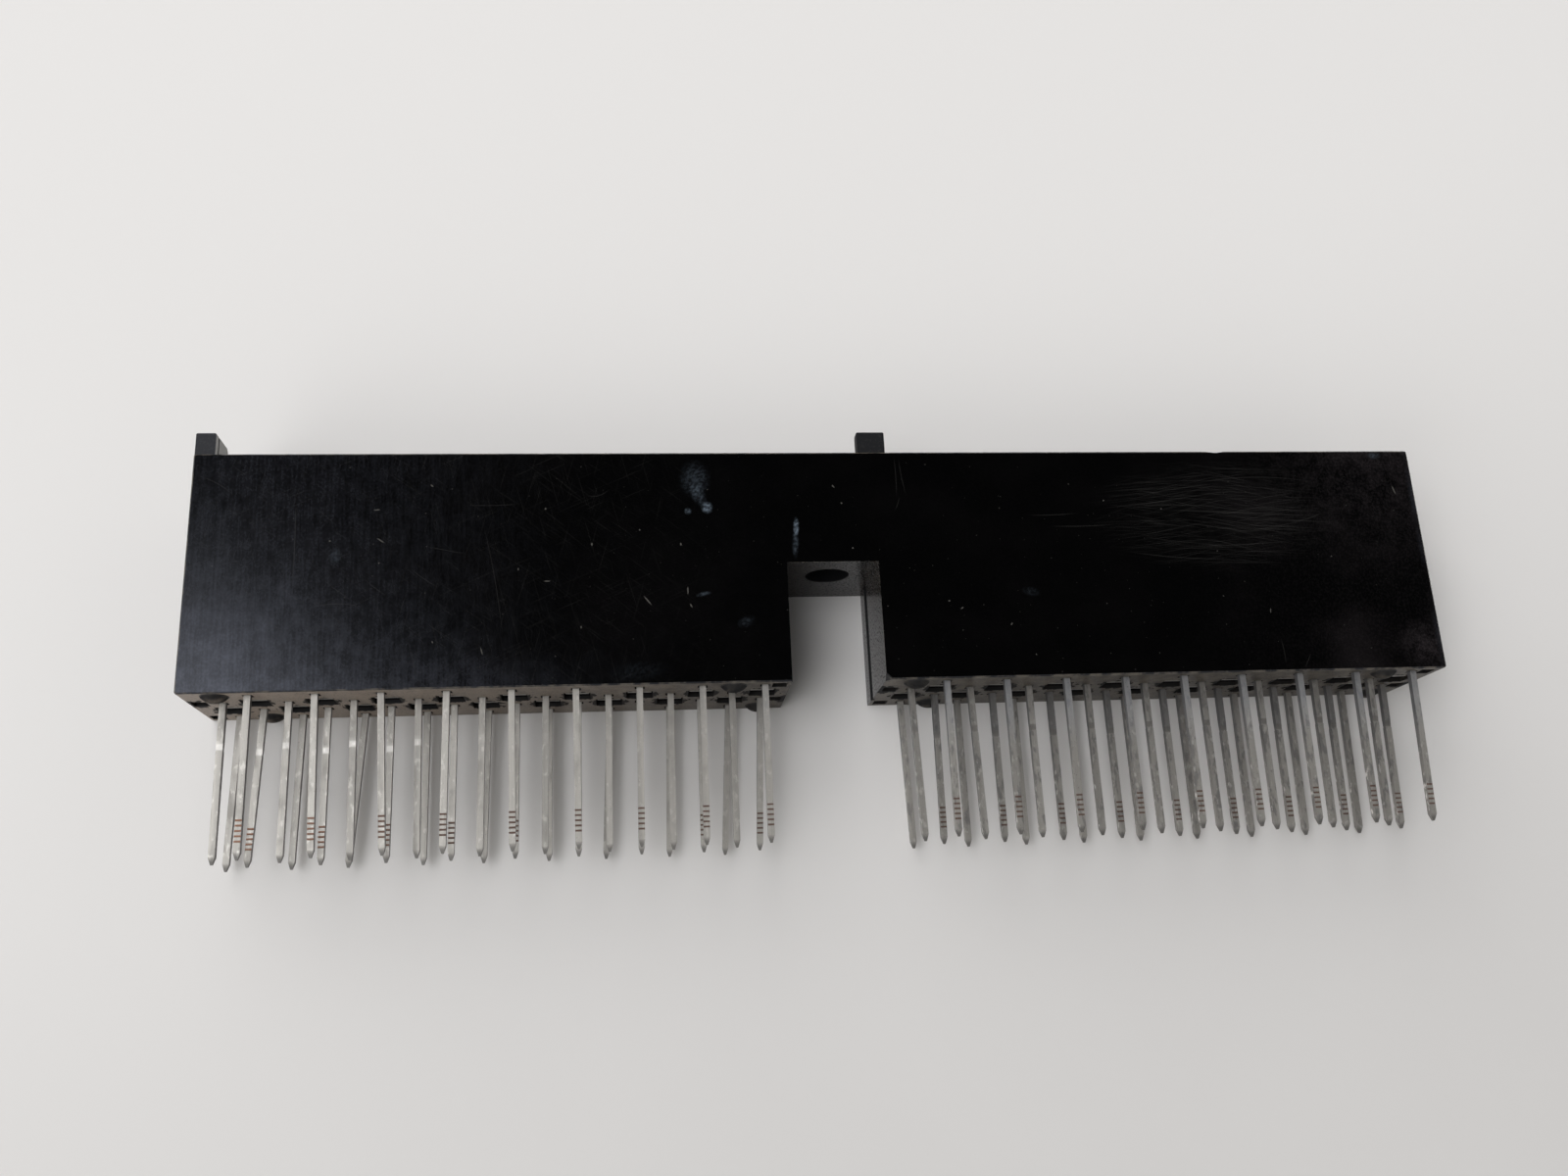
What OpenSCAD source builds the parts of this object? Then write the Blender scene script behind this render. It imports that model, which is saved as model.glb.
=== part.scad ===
// Card-edge socket with wire-wrap tails: two in-line connector halves in one moulded block.
// It lies on its back face: X runs along the block, +Y towards the card, tails point to -Y, +Z is up.
// Heights are written from the tail face (0), depths across the block from its middle plane (0).

/* [Contact grid] */
// Contact columns in one connector half
columns = 18; // [6:1:28]
// Distance between contact columns
contact_pitch = 3.175; // [2.9:0.005:5.08]
// Distance between the four rows of tails
row_pitch = 3.175; // [2.9:0.005:4.5]
// Distance from the outer rows to the front and back faces
face_margin = 1.5875; // [1.55:0.0125:4]

/* [Housing] */
// Height from the tail face to the mating face
body_h = 24.9; // [22:0.1:34]
// From the left end of a half to its first column
first_margin = 3.36; // [3:0.01:8]
// From the left half's last column to the notch
last_margin = 2.65; // [2.6:0.01:8]
// From the right half's last column to the end of the block
end_margin = 3.175; // [2.6:0.005:8]
// Small break on the outer edges
edge_break = 0.15; // [0.05:0.05:0.4]
// Rounding of the two corners at the right end
end_round = 0.45; // [0.2:0.05:0.6]

/* [Mounting notch] */
// Width of the notch between the halves
notch_w = 9.65; // [6:0.05:20]
// Depth of the notch from the tail face
notch_d = 12.65; // [5:0.05:18]
// Diameter of the screw hole through the web
hole_d = 4.7; // [2.5:0.1:5.5]
// Distance of the screw hole in front of the middle plane
hole_offset = 1.45; // [0:0.05:2]
// Width of the groove down the right wall of the notch
groove_w = 0.6; // [0.2:0.05:0.8]
// Depth of that groove
groove_d = 0.35; // [0.1:0.05:0.38]
// Height of that groove above the back face
groove_z = 3.15; // [2.9:0.05:8]

/* [Tabs] */
// Height of the tabs above the mating face
tab_h = 2.4; // [1.2:0.1:4]
// Distance of the tabs behind the front face
tab_setback = 0.3; // [0.2:0.05:1]
// Small break on the tabs' top corners
tab_break = 0.1; // [0.05:0.05:0.4]
// Length of the end tab along the block
end_tab_l = 2; // [1.2:0.1:2.3]
// Thickness of the end tab
end_tab_t = 4.4; // [2.5:0.1:4.5]
// Rounding of the end tab's inner top edge
end_tab_r = 1; // [0.3:0.1:1.2]
// Distance of the end tab from the end of the block
end_tab_inset = 0; // [0:0.05:0.3]
// Thickness of the front leaf that a slit parts from the end tab
end_tab_leaf_t = 0.85; // [0.5:0.05:1.4]
// Width of that slit
end_tab_slit = 0.3; // [0.1:0.05:0.5]
// Length of the middle tab along the block
mid_tab_l = 3; // [1.5:0.1:5]
// Thickness of the middle tab
mid_tab_t = 1.3; // [0.8:0.1:2.5]
// Rounding of the middle tab's inner top edge
mid_tab_r = 0.5; // [0.2:0.1:0.7]

/* [Card slot] */
// Thickness of the card
card_t = 1.57; // [0.8:0.01:1.8]
// Clearance of the slot on each side of the card
card_gap = 0.115; // [0.05:0.005:0.3]
// Depth of the slot from the mating face
slot_d = 10; // [7:0.1:12]
// Length of the slot past the outer columns
slot_end = 1.72; // [1.2:0.01:2.2]
// Lead-in chamfer at the slot's mouth
slot_lead = 0.6; // [0.2:0.05:0.7]

/* [Contact cavities] */
// Clearance of a cavity on each side of the contact
cavity_gap = 0.2; // [0.05:0.01:0.4]
// Wall between a front cavity and the back one under the slot
mid_wall = 1.2; // [0.6:0.1:2]
// Room behind the spring for its travel
spring_room = 1; // [0.5:0.05:1.1]
// Thickness of the floor that a straight contact stands on
floor_t = 3.4; // [2:0.1:4.5]
// Clearance of a tail hole on each side of the tail
tail_gap = 0.18; // [0.05:0.01:0.25]
// Clearance over a cranked arm
passage_gap = 0.3; // [0.1:0.05:1]
// Length along the block of an opening under a cranked contact
opening_l = 2.7; // [2.2:0.1:3.2]
// Width across the block of that opening
opening_w = 3; // [2.2:0.1:3]
// Clearance of a cranked contact's foot at each end of that opening
foot_gap = 0.15; // [0.05:0.05:0.3]
// Length along the block of the coring slots at the ends of a half
core_l = 1.5; // [0.8:0.1:1.7]
// Width across the block of those slots
core_w = 1.7; // [0.8:0.1:1.9]
// Depth of those slots
core_d = 4; // [1:0.1:8]
// Thinnest wall between those slots and the end of the half
core_wall = 0.4; // [0.4:0.05:0.5]

/* [Standoffs] */
// Diameter of a standoff dome at its foot
dome_d = 2.8; // [1.5:0.1:2.9]
// Height of a standoff dome
dome_h = 0.7; // [0.2:0.05:1]

/* [Contacts] */
// Side of the square tail
tail_w = 0.64; // [0.5:0.01:0.8]
// Length of the tail below the tail face
tail_l = 15.875; // [8:0.125:20]
// Length of the tail's pointed end
point_l = 0.7; // [0.3:0.05:1.2]
// Side of the blunt end of the point
point_w = 0.22; // [0.1:0.01:0.4]
// Width of the spring leaf and its base
leaf_w = 1.6; // [1.5:0.05:1.9]
// Thickness of the spring leaf
leaf_t = 0.4; // [0.25:0.05:0.5]
// Height of the contact's base above the tail face
base_top = 9; // [7.5:0.1:10]
// Height of the cranked arm's middle line
crank_y = 6; // [5.2:0.1:6.8]
// Distance of a cranked contact's foot above the tail face
foot_y = 0.3; // [0.2:0.1:2]
// Height of that foot
foot_h = 1.2; // [0.5:0.1:2.5]
// Free gap between two facing contact noses
nose_gap = 0.9; // [0.4:0.05:1.3]
// Radius of the nose at the middle of the leaf
nose_r = 1.5; // [0.8:0.1:2]
// Distance of the nose below the leaf's tip
nose_drop = 3; // [2:0.1:4]
// Slant of the leaf's tip away from the card
tip_slant = 25; // [10:1:28]
// Distance of the leaf's tip below the mating face
tip_recess = 2; // [1:0.1:4]

/* [Serrations] */
// Grooves across one side of a tail
serrations = 5; // [1:1:8]
// Distance between those grooves
serration_pitch = 0.5; // [0.3:0.05:0.8]
// Distance of the first groove from the tail's end
serration_start = 1.75; // [1.3:0.05:4]
// Width of a groove
serration_w = 0.22; // [0.1:0.02:0.28]
// Depth of a groove
serration_d = 0.06; // [0.02:0.01:0.12]

/* [Pinch marks] */
// Distance below the tail face of the marks pinched into a straight tail
pinch_y = 4.3; // [3:0.1:6]
// Length of a pinch mark along the tail
pinch_l = 1; // [0.4:0.1:1.5]
// Depth of a pinch mark at its lower end
pinch_d = 0.1; // [0.03:0.01:0.14]

/* [Wear] */
// Chip off the front corner where the right half meets the notch
notch_chip = 0.75; // [0.2:0.05:1.2]
// Chip off the front corner at the left end
end_chip = 0.4; // [0.2:0.05:1]
// Length of the nick in the front edge of the mating face
nick_l = 2; // [0.5:0.1:3]
// Depth of that nick
nick_d = 0.2; // [0.05:0.05:0.4]
// Distance of that nick from the right end
nick_x = 22.3; // [5:0.1:50]
// Lean of the last tails at the right end, in degrees
end_lean = 2; // [0:0.25:4]
// Columns over which that lean grows
lean_columns = 7; // [1:1:17]

/* [Hidden] */
$fn = 48;
cut = 1;
arc_steps = 8;
sides = ["left", "right"];

columns_l = (columns - 1) * contact_pitch;
left_l = first_margin + columns_l + last_margin;
right_l = first_margin + columns_l + end_margin;
half_pitch = left_l + notch_w;
body_l = half_pitch + right_l;
notch_x = (left_l - right_l) / 2;
body_t = 3 * row_pitch + 2 * face_margin;
tail_face_y = (tail_l - body_h - tab_h) / 2;
inner_row = row_pitch / 2;
outer_row = 1.5 * row_pitch;

slot_w = card_t + 2 * card_gap;
slot_l = columns_l + 2 * slot_end;
cavity_w = leaf_w + 2 * cavity_gap;
cavity_out = inner_row + tail_w / 2 + spring_room;
tail_hole = tail_w + 2 * tail_gap;
core_x = core_wall + core_l / 2;
foot_w = opening_l - 2 * foot_gap;

tip_y = body_h - tip_recess;
nose_y = tip_y - nose_drop;
nose_z = nose_gap / 2 + leaf_t / 2 + nose_r;
crank_r = tail_hole / 2;
dome_r = (dome_d * dome_d / 4 + dome_h * dome_h) / (2 * dome_h);
dome_sink = 0.1;
nick_r = (nick_l * nick_l / 4 + nick_d * nick_d) / (2 * nick_d);

function two_digits(n) = n < 10 ? str("0", n) : str(n);
function pair_name(side, i) = str("contacts_", sides[side], "_", two_digits(i + 1));

// Where a half starts, and where its columns stand
function half_x(side) = -body_l / 2 + side * half_pitch;
function column_x(side, i) = half_x(side) + first_margin + i * contact_pitch;

// The front contact of every second column is cranked, and so are the back ones of the others
function front_cranked(i) = i % 2 == 1;

// Tails bent out of line: half, column, row counted from the front, and lean in degrees
bent_tails = [
    [0, 1, 4, -1.5], [0, 2, 3, -2.5], [0, 3, 4, -1.25], [0, 4, 1, 1.5], [0, 5, 2, 1],
    [0, 5, 4, -4], [0, 6, 1, 2.5], [0, 7, 2, 1], [0, 9, 4, -1], [0, 10, 1, 1],
    [0, 12, 1, 1], [0, 13, 4, -1.75], [0, 15, 4, -1], [0, 17, 4, -3], [0, 18, 3, -2.25],
    [1, 1, 2, 1.5], [1, 1, 4, 1.5], [1, 2, 3, -0.5], [1, 3, 2, 1.25]];

function listed_leans(side, i, row) = [for (b = bent_tails)
    if (b[0] == side && b[1] == i + 1 && b[2] == row) b[3]];
function end_sweep(side, i) = -side * end_lean * max(0, i + 1 - columns + lean_columns) / lean_columns;
function tail_lean(side, i, row) = concat(listed_leans(side, i, row), [end_sweep(side, i)])[0];

// Sideways place of a leaning tail at a height; the lean starts at the tail face
function lean_x(y, lean) = y < 0 ? -y * tan(lean) : 0;

function arc(centre, r, from, to) = [for (k = [0:arc_steps])
    let (a = from + (to - from) * k / arc_steps) centre + r * [cos(a), sin(a)]];

// Outline of a bent strip of one thickness; each step of the path is a point and its heading
function strip(path, t) = concat(
    [for (s = path) s[0] + t / 2 * [-sin(s[1]), cos(s[1])]],
    [for (k = [len(path) - 1:-1:0]) path[k][0] - t / 2 * [-sin(path[k][1]), cos(path[k][1])]]);

function bend(centre, r, from, to, turn) = [for (k = [0:arc_steps])
    let (a = from + (to - from) * k / arc_steps) [centre + r * [cos(a), sin(a)], a + turn]];

function broken_corners(w, h, c) = [
    [c, 0], [w - c, 0], [w, c], [w, h - c],
    [w - c, h], [c, h], [0, h - c], [0, c]];

// An outline with broken corners at its left end and round ones at its right end
function round_ended(w, h, c, r) = concat(
    [[c, 0]],
    arc([w - r, r], r, -90, 0),
    arc([w - r, h - r], r, 0, 90),
    [[c, h], [0, h - c], [0, c]]);

// Extrudes an X-Z outline along Y, from one height to another
module along_y(from, to) {
    translate([0, to, 0])
        rotate([90, 0, 0])
            linear_extrude(to - from)
                children();
}

// Extrudes a Z-Y outline along X, centred
module along_x(length) {
    rotate([0, -90, 0])
        linear_extrude(length, center = true)
            children();
}

// The moulded housing

module outer_block() {
    intersection() {
        translate([-body_l / 2, 0, 0])
            linear_extrude(body_t)
                polygon(round_ended(body_l, body_h, edge_break, end_round));
        along_x(body_l)
            polygon(broken_corners(body_t, body_h, edge_break));
        along_y(0, body_h)
            translate([-body_l / 2, 0])
                polygon(broken_corners(body_l, body_t, edge_break));
    }
}

// A tab with a flat front and a rounded inner top edge, standing on the mating face
module tab(length, t, r) {
    front = body_t - tab_setback;
    back = front - t;
    round_end = arc([back + r, body_h + tab_h - r], r, 90, 180);
    profile = concat([[front, body_h - cut], [front, body_h + tab_h]], round_end, [[back, body_h - cut]]);
    intersection() {
        along_x(length)
            polygon(profile);
        translate([-length / 2, body_h - cut, 0])
            linear_extrude(body_t)
                polygon(broken_corners(length, tab_h + cut, tab_break));
    }
}

module end_tab() {
    x = -body_l / 2 + end_tab_inset + end_tab_l / 2;
    slit_z = body_t - tab_setback - end_tab_leaf_t - end_tab_slit;
    difference() {
        translate([x, 0, 0])
            tab(end_tab_l, end_tab_t, end_tab_r);
        translate([x - end_tab_l / 2 - cut, body_h, slit_z])
            cube([end_tab_l + 2 * cut, tab_h + cut, end_tab_slit]);
    }
}

module middle_tab() {
    translate([notch_x + notch_w / 2, 0, 0])
        tab(mid_tab_l, mid_tab_t, mid_tab_r);
}

// A low dome at an empty place of an outer row
module standoff(side, i, z) {
    translate([column_x(side, i), 0, body_t / 2 + z])
        intersection() {
            translate([0, dome_r - dome_h, 0])
                sphere(dome_r);
            translate([-dome_d, -dome_h, -dome_d])
                cube([2 * dome_d, dome_h + dome_sink, 2 * dome_d]);
        }
}

module standoffs() {
    for (side = [0, 1]) {
        standoff(side, 0, outer_row);
        standoff(side, columns - 2, outer_row);
        standoff(side, 1, -outer_row);
        standoff(side, columns - 1, -outer_row);
    }
}

module notch_cut() {
    translate([notch_x - notch_w / 2, -cut, -cut])
        cube([notch_w, notch_d + cut, body_t + 2 * cut]);
    translate([notch_x, notch_d - cut, body_t / 2 + hole_offset])
        rotate([-90, 0, 0])
            cylinder(h = body_h - notch_d + 2 * cut, d = hole_d);
    translate([notch_x + notch_w / 2 - cut, -cut, groove_z - groove_w / 2])
        cube([groove_d + cut, notch_d + cut, groove_w]);
}

module card_slot(side) {
    x = (column_x(side, 0) + column_x(side, columns - 1)) / 2;
    mouth = slot_w / 2 + slot_lead;
    bottom = body_h - slot_d;
    translate([x, 0, body_t / 2])
        along_x(slot_l)
            polygon([
                [-slot_w / 2, bottom], [slot_w / 2, bottom],
                [slot_w / 2, body_h - slot_lead], [mouth, body_h],
                [mouth, body_h + cut], [-mouth, body_h + cut],
                [-mouth, body_h], [-slot_w / 2, body_h - slot_lead]]);
}

// One X-Z rectangle for each contact of the wanted form, on the side where that contact stands
module at_contacts(cranked, from, to, width) {
    for (side = [0, 1], i = [0:columns - 1]) {
        z = front_cranked(i) == cranked ? from : -to;
        translate([column_x(side, i) - width / 2, body_t / 2 + z])
            square([width, to - from]);
    }
}

module contact_cuts() {
    reach = tail_hole / 2;
    arm_floor = crank_y - tail_w / 2;
    // Straight contacts: a cavity with a floor, and a tail hole through it
    along_y(floor_t, body_h + cut)
        at_contacts(false, mid_wall / 2, cavity_out, cavity_w);
    along_y(-cut, floor_t + cut)
        at_contacts(false, inner_row - reach, inner_row + reach, tail_hole);
    // Cranked contacts: a cavity open at its foot, and a passage for the arm to the outer tail hole
    along_y(floor_t - cut, body_h + cut)
        at_contacts(true, mid_wall / 2, cavity_out, cavity_w);
    along_y(-cut, floor_t)
        at_contacts(true, inner_row - opening_w / 2, inner_row + opening_w / 2, opening_l);
    along_y(arm_floor, crank_y + tail_w / 2 + passage_gap)
        at_contacts(true, cavity_out - cut, outer_row + reach, tail_hole);
    along_y(-cut, arm_floor + cut)
        at_contacts(true, outer_row - reach, outer_row + reach, tail_hole);
}

// Coring slots beside the end columns, in line with that column's tails
module end_cores(side) {
    left = half_x(side) + core_x;
    right = column_x(side, columns - 1) + min(last_margin, end_margin) - core_x;
    places = [[left, inner_row], [left, -outer_row], [right, outer_row], [right, -inner_row]];
    along_y(-cut, core_d)
        for (p = places)
            translate([p.x, body_t / 2 + p.y])
                square([core_l, core_w], center = true);
}

// Breaks a corner off, at an equal distance along its three edges
module corner_chip(size) {
    slant = atan(sqrt(2));
    depth = size / sqrt(3);
    rotate([0, slant, 45])
        cube([4 * size, 4 * size, 2 * depth], center = true);
}

module wear_cuts() {
    translate([notch_x + notch_w / 2, 0, body_t])
        mirror([0, 0, 1])
            corner_chip(notch_chip);
    translate([-body_l / 2, 0, body_t])
        mirror([0, 0, 1])
            corner_chip(end_chip);
    translate([body_l / 2 - nick_x, body_h + nick_r - nick_d, body_t])
        sphere(nick_r);
}

module housing() {
    color("#141416")
        translate([0, tail_face_y, 0])
            difference() {
                union() {
                    outer_block();
                    end_tab();
                    middle_tab();
                    standoffs();
                }
                notch_cut();
                for (side = [0, 1]) {
                    card_slot(side);
                    end_cores(side);
                }
                contact_cuts();
                wear_cuts();
            }
}

// The stamped contacts, drawn at the middle plane with the card side at Z = 0

// Square tail with a pointed end, from the given height down; below the tail face it leans sideways
module tail(top, z, lean) {
    half = tail_w / 2;
    right = [[half, top], [half, 0], [half, point_l - tail_l], [point_w / 2, -tail_l]];
    left = [for (k = [len(right) - 1:-1:0]) [-right[k].x, right[k].y]];
    outline = concat(right, left);
    translate([0, 0, z])
        intersection() {
            along_x(tail_w + 2 * lean_x(-tail_l, abs(lean)))
                polygon(outline);
            linear_extrude(tail_w, center = true)
                polygon([for (p = outline) p + [lean_x(p.y, lean), 0]]);
        }
}

// Grooves across the side of the tail that faces in the given direction
module serration_cuts(z, facing, lean) {
    for (k = [0:serrations - 1]) {
        y = serration_start - tail_l + k * serration_pitch;
        translate([lean_x(y, lean), y, z + facing * tail_w / 2])
            along_x(tail_w + cut)
                polygon([[0, -serration_w / 2], [0, serration_w / 2], [-facing * serration_d, 0]]);
    }
}

// Shallow wedges in the two faces of a straight tail, deepest at their lower ends
module pinch_cuts(lean) {
    low = -pinch_l / 2;
    for (facing = [-1, 1])
        translate([lean_x(-pinch_y, lean), -pinch_y, inner_row + facing * tail_w / 2])
            along_x(tail_w + cut)
                polygon([[0, low], [0, pinch_l / 2], [-facing * pinch_d, low]]);
}

// Spring leaf: straight from the base up to a round nose at the card, then slanting back to its tip
module spring_leaf() {
    foot = [inner_row, base_top];
    nose = [nose_z, nose_y];
    span = nose - foot;
    lean = atan2(span.y, span.x) + asin(nose_r / norm(span));
    tip_heading = 90 - tip_slant;
    round_nose = bend(nose, nose_r, lean + 90, tip_heading + 90, -90);
    nose_end = round_nose[arc_steps][0];
    tip = nose_end + (tip_y - nose_end.y) * [tan(tip_slant), 1];
    sunk_foot = foot - leaf_t * [cos(lean), sin(lean)];
    along_x(leaf_w)
        polygon(strip(concat([[sunk_foot, lean]], round_nose, [[tip, tip_heading]]), leaf_t));
}

module base(bottom, top, width) {
    translate([-width / 2, bottom, inner_row - tail_w / 2])
        cube([width, top - bottom, tail_w]);
}

// Arm from the base out to the outer row, bent down into the tail
module crank() {
    corner = bend([outer_row - crank_r, crank_y - crank_r], crank_r, 90, 0, -90);
    start = [[inner_row, crank_y], 0];
    end = [[outer_row, crank_y - 2 * crank_r], -90];
    along_x(tail_w)
        polygon(strip(concat([start], corner, [end]), tail_w));
}

module straight_contact(lean) {
    spring_leaf();
    base(floor_t, base_top, leaf_w);
    difference() {
        tail(floor_t + tail_w, inner_row, lean);
        serration_cuts(inner_row, -1, lean);
        pinch_cuts(lean);
    }
}

module cranked_contact(lean) {
    spring_leaf();
    base(foot_y, base_top, leaf_w);
    base(foot_y, foot_y + foot_h, foot_w);
    crank();
    difference() {
        tail(crank_y - 1.5 * crank_r, outer_row, lean);
        serration_cuts(outer_row, 1, lean);
    }
}

module contact(cranked, lean) {
    if (cranked)
        cranked_contact(lean);
    else
        straight_contact(lean);
}

module contact_pair(side, i) {
    cranked = front_cranked(i);
    color("#a9a9a6")
        translate([column_x(side, i), tail_face_y, body_t / 2]) {
            contact(cranked, tail_lean(side, i, cranked ? 1 : 2));
            mirror([0, 0, 1])
                contact(!cranked, tail_lean(side, i, cranked ? 3 : 4));
        }
}

housing();
for (side = [0, 1], i = [0:columns - 1])
    contact_pair(side, i);
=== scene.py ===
import math

import bmesh
import bpy
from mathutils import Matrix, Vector


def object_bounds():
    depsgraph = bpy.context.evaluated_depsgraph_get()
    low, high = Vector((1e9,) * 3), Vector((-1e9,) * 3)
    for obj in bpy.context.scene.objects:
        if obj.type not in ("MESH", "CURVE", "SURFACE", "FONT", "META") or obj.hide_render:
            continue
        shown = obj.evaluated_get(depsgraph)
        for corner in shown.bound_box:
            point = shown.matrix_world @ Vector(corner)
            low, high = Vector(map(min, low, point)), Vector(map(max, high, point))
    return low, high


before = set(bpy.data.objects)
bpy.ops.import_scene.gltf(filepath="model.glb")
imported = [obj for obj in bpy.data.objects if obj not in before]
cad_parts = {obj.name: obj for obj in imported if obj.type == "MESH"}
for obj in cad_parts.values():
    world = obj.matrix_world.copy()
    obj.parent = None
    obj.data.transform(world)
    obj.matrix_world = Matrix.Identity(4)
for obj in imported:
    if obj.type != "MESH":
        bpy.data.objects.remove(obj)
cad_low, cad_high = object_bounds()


# Moulded housing
# One black thermoset moulding makes both connector halves, the web over the mounting notch and the tabs.
# The mould left its front glossy; years of handling have hazed, scratched and dusted it, and the cored
# sides are duller and browner. It is a finished CAD shape, so only its surface is made here.

# sizes in millimetres: the frame gives the outer ones, and the others follow from them and the contacts
mm_per_metre = 1000
left_end, tail_points, _ = (edge * mm_per_metre for edge in cad_low)
right_end, tab_ends, front_face = (edge * mm_per_metre for edge in cad_high)
columns = 18
pitch = 3.175
first_margin, last_margin = 3.36, 2.65
tail_length = 15.875
tab_height = 2.4
notch_width = 9.65
notch_depth = 12.65

tail_face = tail_points + tail_length
mating_face = tab_ends - tab_height
middle_height = front_face / 2
half_length = first_margin + (columns - 1) * pitch + last_margin
half_pitch = half_length + notch_width
first_column = left_end + first_margin
notch_roof = tail_face + notch_depth
notch_reach = notch_width / 2
notch_middle = left_end + half_length + notch_reach
notch_right = notch_middle + notch_reach


class Finish:
    """A material being mixed, with its patterns measured in millimetres of the part's own frame."""

    def __init__(self, name):
        self.material = bpy.data.materials.new(name)
        self.material.use_nodes = True
        self.tree = self.material.node_tree
        self.shader = self.tree.nodes["Principled BSDF"]
        coordinates = self.tree.nodes.new("ShaderNodeTexCoord")
        to_millimetres = self.tree.nodes.new("ShaderNodeMapping")
        to_millimetres.inputs["Scale"].default_value = (mm_per_metre,) * 3
        self.feed(to_millimetres.inputs["Vector"], coordinates.outputs["Object"])
        self.place = to_millimetres.outputs["Vector"]
        # the many small marks start from a plain product, which takes less of the renderer's memory
        self.spot = self.vector("MULTIPLY", coordinates.outputs["Object"], (mm_per_metre,) * 3)
        self.x, self.y, self.z = self.parts(self.place)
        self.facing_x, self.facing_y, self.facing_z = self.parts(coordinates.outputs["Normal"])

    def feed(self, socket, value):
        """Links a socket to another node's output, or gives it a plain value."""
        if isinstance(value, bpy.types.NodeSocket):
            self.tree.links.new(value, socket)
        else:
            socket.default_value = value

    def give(self, name, value):
        """Sets one of the surface's own properties."""
        self.feed(self.shader.inputs[name], value)

    def parts(self, vector):
        split = self.tree.nodes.new("ShaderNodeSeparateXYZ")
        self.feed(split.inputs[0], vector)
        return split.outputs[0], split.outputs[1], split.outputs[2]

    def maths(self, operation, a, b=0.0, c=0.0):
        made = self.tree.nodes.new("ShaderNodeMath")
        made.operation = operation
        for socket, value in zip(made.inputs, (a, b, c)):
            self.feed(socket, value)
        return made.outputs[0]

    def vector(self, operation, a, b=(0, 0, 0)):
        made = self.tree.nodes.new("ShaderNodeVectorMath")
        made.operation = operation
        self.feed(made.inputs[0], a)
        made.inputs[1].default_value = b
        return made.outputs["Value" if operation in ("LENGTH", "DOT_PRODUCT") else "Vector"]

    def product(self, first, *rest):
        for factor in rest:
            first = self.maths("MULTIPLY", first, factor)
        return first

    def total(self, first, *rest):
        for term in rest:
            first = self.maths("ADD", first, term)
        return first

    def blend(self, *terms, start=None):
        """The sum of TERMS, each the product of its patterns and its strength, counted from START."""
        products = [self.product(*term) for term in terms]
        return self.total(*products) if start is None else self.total(start, *products)

    def distance(self, along, across):
        squares = self.maths("MULTIPLY_ADD", along, along, self.product(across, across))
        return self.maths("SQRT", squares)

    def rise(self, value, low, high):
        """0 below LOW, 1 above HIGH, smooth between; the other way round where LOW is the larger."""
        made = self.tree.nodes.new("ShaderNodeMapRange")
        made.interpolation_type = "SMOOTHSTEP"
        self.feed(made.inputs["Value"], value)
        made.inputs["From Min"].default_value = min(low, high)
        made.inputs["From Max"].default_value = max(low, high)
        made.inputs["To Min"].default_value = 0 if low < high else 1
        made.inputs["To Max"].default_value = 1 if low < high else 0
        return made.outputs[0]

    def band(self, value, low, high, soft):
        """1 between LOW and HIGH, 0 outside, changing over SOFT on both sides of each."""
        above = self.rise(value, low - soft, low + soft)
        below = self.rise(value, high + soft, high - soft)
        return self.product(above, below)

    def local(self, centre=(0, 0, 0), turn=0.0, size=1, place=None):
        """Places counted from CENTRE, turned by TURN degrees about Z, in units of SIZE millimetres."""
        made = self.tree.nodes.new("ShaderNodeMapping")
        made.vector_type = "TEXTURE"
        self.feed(made.inputs["Vector"], place or self.place)
        made.inputs["Location"].default_value = centre
        made.inputs["Rotation"].default_value = (0, 0, math.radians(turn))
        made.inputs["Scale"].default_value = size if isinstance(size, tuple) else (size,) * 3
        return made.outputs[0]

    def grain(self, size, turn=0.0, detail=2.0, centre=(0, 0, 0), place=None):
        """Noise with lumps of SIZE millimetres."""
        made = self.tree.nodes.new("ShaderNodeTexNoise")
        self.feed(made.inputs["Vector"], self.local(centre, turn, size, place))
        made.inputs["Scale"].default_value = 1
        made.inputs["Detail"].default_value = detail
        return made.outputs[0]

    def lumps(self, size, low, high, **how):
        """Noise cut to blots: 0 where it is below LOW, 1 where it is above HIGH."""
        return self.rise(self.grain(size, **how), low, high)

    def fine_lines(self, lines, low, high, place=None):
        """Noise drawn out to thin lines: each set has its turn in degrees, its length and its thickness."""
        return [self.lumps((length, thick, 1), low, high, turn=turn, detail=1, place=place)
                for turn, length, thick in lines]

    def along_across(self, centre, turn, size):
        """Places along and across a line through CENTRE, turned by TURN degrees, in units of SIZE."""
        offset = self.vector("SUBTRACT", self.spot, (*centre, 0))
        right, up = math.cos(math.radians(turn)), math.sin(math.radians(turn))
        return (self.vector("DOT_PRODUCT", offset, (right / size[0], up / size[0], 0)),
                self.vector("DOT_PRODUCT", offset, (-up / size[1], right / size[1], 0)))

    def patch(self, centre, size, turn=0.0, core=0.2):
        """A soft lump on the front: 1 in its core, fading to 0 at SIZE millimetres from the middle."""
        along, across = self.along_across(centre, turn, size)
        return self.rise(self.distance(along, across), 1, core)

    def hairline(self, x, y, half_length, turn, bend, width):
        """One thin scratch on the front: its middle, half length, turn, rise at the ends and width."""
        reach, across = self.along_across((x, y), turn, (half_length, 1))
        off_line = self.maths("ABSOLUTE", self.maths("SUBTRACT", across, self.product(reach, reach, bend)))
        ends = self.rise(self.maths("ABSOLUTE", reach), 1, 0.3)
        return self.product(self.rise(off_line, width, width / 4), ends)

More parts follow.
